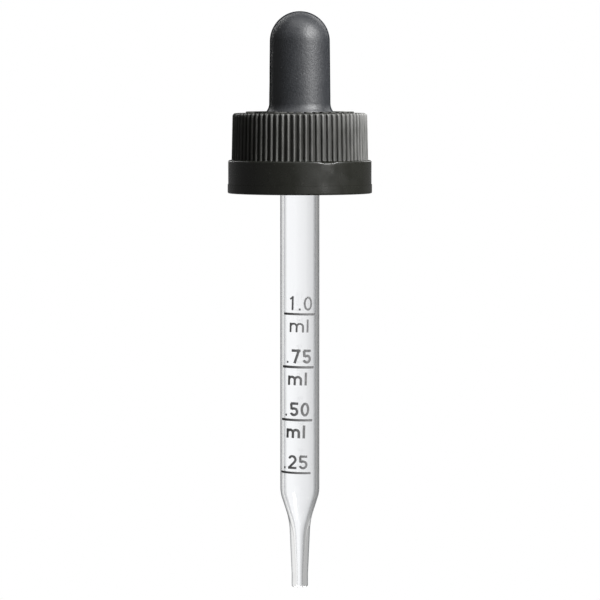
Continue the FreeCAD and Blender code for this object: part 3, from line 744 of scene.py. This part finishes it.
def printed_ink():
    """Black fired ink: slightly uneven in cover, matt where thin."""
    n = Nodes("print_ink")
    cover = n.grain(0.22, 3.0)
    thin = n.spread(cover, 0.3, 0.7, 0.0, 1.0)
    full_black, thin_black = (0.045, 0.045, 0.046), (0.11, 0.11, 0.112)
    n.feed("Base Color", n.mix(thin, full_black, thin_black))
    n.feed("Roughness", n.spread(cover, 0.3, 0.7, 0.45, 0.7))
    n.bumps([(cover, 0.006)])
    return n.material


# ---- studio ----

ROOM_LIGHT = 0.16


class WorldNodes(Graph):
    """A new world's node graph, which starts empty."""

    def __init__(self, name):
        self.world = bpy.data.worlds.new(name)
        self.world.use_nodes = True
        super().__init__(self.world.node_tree)
        self.tree.nodes.clear()

    def background(self, strength, colour=(1, 1, 1, 1)):
        node = self.add("ShaderNodeBackground")
        node.inputs["Color"].default_value = colour
        if isinstance(strength, float):
            node.inputs["Strength"].default_value = strength
        else:
            self.link(strength, node.inputs["Strength"])
        return node

    def above(self, source, limit):
        """1 where a value is over the limit, 0 elsewhere."""
        node = self.add("ShaderNodeMath", operation="GREATER_THAN")
        self.link(source, node.inputs[0])
        node.inputs[1].default_value = limit
        return node.outputs[0]

    def choose(self, factor, otherwise, chosen):
        """The chosen background where the factor is 1, the other one where it is 0."""
        node = self.add("ShaderNodeMixShader")
        self.link(factor, node.inputs[0])
        self.link(otherwise.outputs[0], node.inputs[1])
        self.link(chosen.outputs[0], node.inputs[2])
        return node


def paper_through_glass(w, direction):
    """White paper that falls off towards a grey screen behind on the right."""
    screen = math.radians(40)
    toward_screen = w.add("ShaderNodeVectorMath", operation="DOT_PRODUCT")
    w.link(direction, toward_screen.inputs[0])
    toward_screen.inputs[1].default_value = (math.sin(screen), math.cos(screen), 0)
    cool_white = (0.985, 0.99, 1.01, 1)
    return w.background(w.spread(toward_screen.outputs["Value"], 0.72, 1.0, 1.0, 0.42), cool_white)


def sides_through_wall(w, direction, mirrored):
    """The sides of the room: lighter on the right, or on the left for light that the bore mirrors."""
    sideways = w.add("ShaderNodeSeparateXYZ")
    w.link(direction, sideways.inputs[0])
    straight_light = w.background(w.spread(sideways.outputs["X"], -0.3, 0.3, 0.45, 0.85))
    mirrored_light = w.background(w.spread(sideways.outputs["X"], -0.35, 0.15, 0.95, 0.42))
    return w.choose(mirrored, straight_light, mirrored_light)


def studio_world():
    """White paper behind the dropper and a dim room for the light that falls on it.

    Light bent by the wall of the tube alone crosses two surfaces instead of four, and comes from the
    sides of the room. It has bounced once more where the bore mirrors it.
    """
    w = WorldNodes("studio")
    bpy.context.scene.world = w.world
    path = w.add("ShaderNodeLightPath")
    direction = w.add("ShaderNodeTexCoord").outputs["Generated"]
    mirrored = w.above(path.outputs["Ray Depth"], 3.5)
    through_the_bore = w.above(path.outputs["Transmission Depth"], 2.5)
    sides = sides_through_wall(w, direction, mirrored)
    seen_in_glass = w.choose(through_the_bore, sides, paper_through_glass(w, direction))
    room = w.choose(path.outputs["Is Transmission Ray"], w.background(ROOM_LIGHT), seen_in_glass)
    surroundings = w.choose(path.outputs["Is Camera Ray"], room, w.background(1.0))
    output = w.add("ShaderNodeOutputWorld")
    w.link(surroundings.outputs[0], output.inputs["Surface"])


def floor_paper():
    """Paper that glows evenly for the camera, and is plain white for the light that it bounces."""
    material = bpy.data.materials.new("floor_paper")
    material.use_nodes = True
    g = Graph(material.node_tree)
    g.tree.nodes.clear()
    output = g.add("ShaderNodeOutputMaterial")
    paper = g.add("ShaderNodeBsdfDiffuse")
    paper.inputs["Color"].default_value = (0.8, 0.8, 0.8, 1)
    glow = g.add("ShaderNodeEmission")
    glow.inputs["Strength"].default_value = 1.0
    path = g.add("ShaderNodeLightPath")
    mix = g.add("ShaderNodeMixShader")
    g.link(path.outputs["Is Camera Ray"], mix.inputs[0])
    g.link(paper.outputs[0], mix.inputs[1])
    g.link(glow.outputs[0], mix.inputs[2])
    g.link(mix.outputs[0], output.inputs["Surface"])
    return material


def studio_floor():
    """A plain floor far below the tip, which doesn't show through the glass."""
    half = 6.0
    depth = -1.2
    mesh = bpy.data.meshes.new("floor")
    corners = [(-half, -half, depth), (half, -half, depth), (half, half, depth), (-half, half, depth)]
    mesh.from_pydata(corners, [], [[0, 1, 2, 3]])
    mesh.materials.append(floor_paper())
    floor = bpy.data.objects.new("floor", mesh)
    floor.visible_transmission = False
    bpy.context.scene.collection.objects.link(floor)


def soft_light(name, azimuth, elevation, distance, size, watts):
    """A rectangular light that faces the closure. Azimuth 0 is the camera's side, 90 its right."""
    data = bpy.data.lights.new(name, "AREA")
    data.shape = "RECTANGLE"
    data.size, data.size_y = size
    data.energy = watts
    lamp = bpy.data.objects.new(name, data)
    bpy.context.scene.collection.objects.link(lamp)
    a, e = math.radians(azimuth), math.radians(elevation)
    away = Vector((math.sin(a) * math.cos(e), -math.cos(a) * math.cos(e), math.sin(e)))
    closure = Vector((0, 0, 5 * MM))
    lamp.location = closure + away * distance
    lamp.rotation_euler = (-away).to_track_quat("-Z", "Y").to_euler()
    lamp.visible_camera = False


def studio_lights():
    """A strong light at the front right, weak ones above and behind that draw the outline."""
    soft_light("key", 48, 30, distance=0.55, size=(0.2, 0.36), watts=9.5)
    soft_light("front_card", 22, 2, distance=0.62, size=(0.5, 0.25), watts=0.2)
    soft_light("overhead", -20, 76, distance=0.5, size=(0.4, 0.3), watts=1.3)
    soft_light("back", 155, 24, distance=0.6, size=(0.3, 0.3), watts=1.8)
    soft_light("left_edge", -150, 20, distance=0.6, size=(0.06, 0.3), watts=0.6)
    soft_light("behind", -165, 34, distance=0.6, size=(0.4, 0.2), watts=1.0)


def camera():
    """A long lens in front, level with the closure, that looks at the middle of the dropper."""
    middle = (cad_low.z + cad_high.z) / 2
    distance = 0.7
    eye_height = 0.0124
    seen_width = 0.10738
    off_centre = 0.00003
    data = bpy.data.cameras.new("camera")
    eye = bpy.data.objects.new("camera", data)
    bpy.context.scene.collection.objects.link(eye)
    aim = Vector((off_centre, 0, middle + off_centre))
    eye.location = Vector((aim.x, -distance, eye_height))
    toward = aim - eye.location
    eye.rotation_euler = toward.to_track_quat("-Z", "Y").to_euler()
    data.sensor_width = 36
    data.lens = data.sensor_width * toward.length / seen_width
    data.clip_start, data.clip_end = 0.01, 20
    bpy.context.scene.camera = eye


def dress(piece, material):
    """Gives a piece this material and no other."""
    piece.data.materials.clear()
    piece.data.materials.append(material)


def build():
    plastic, inside, rubber = shell_plastic(), inner_plastic(), bulb_rubber()
    glass, ink = clear_glass(), printed_ink()
    shell = closure_shell()
    dress(shell, plastic)
    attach(shell, "shell")
    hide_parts("outer_shell")
    marks = raised_marks()
    dress(marks, plastic)
    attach(marks, "shell")
    bulb = rubber_bulb()
    dress(bulb, rubber)
    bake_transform(bulb)
    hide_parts("squeeze_bulb")
    tube = glass_pipette()
    dress(tube, glass)
    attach(tube, "closure")
    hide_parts("glass_pipette")
    dress(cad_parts["inner_cap"], inside)
    dress(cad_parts["spring_fingers"], inside)
    dress(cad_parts["bulb_collar"], rubber)
    dress(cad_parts["graduation_lines"], ink)
    dress(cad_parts["graduation_numerals"], ink)


build()
studio_world()
studio_floor()
studio_lights()
camera()
bpy.context.scene.view_settings.view_transform = "Standard"
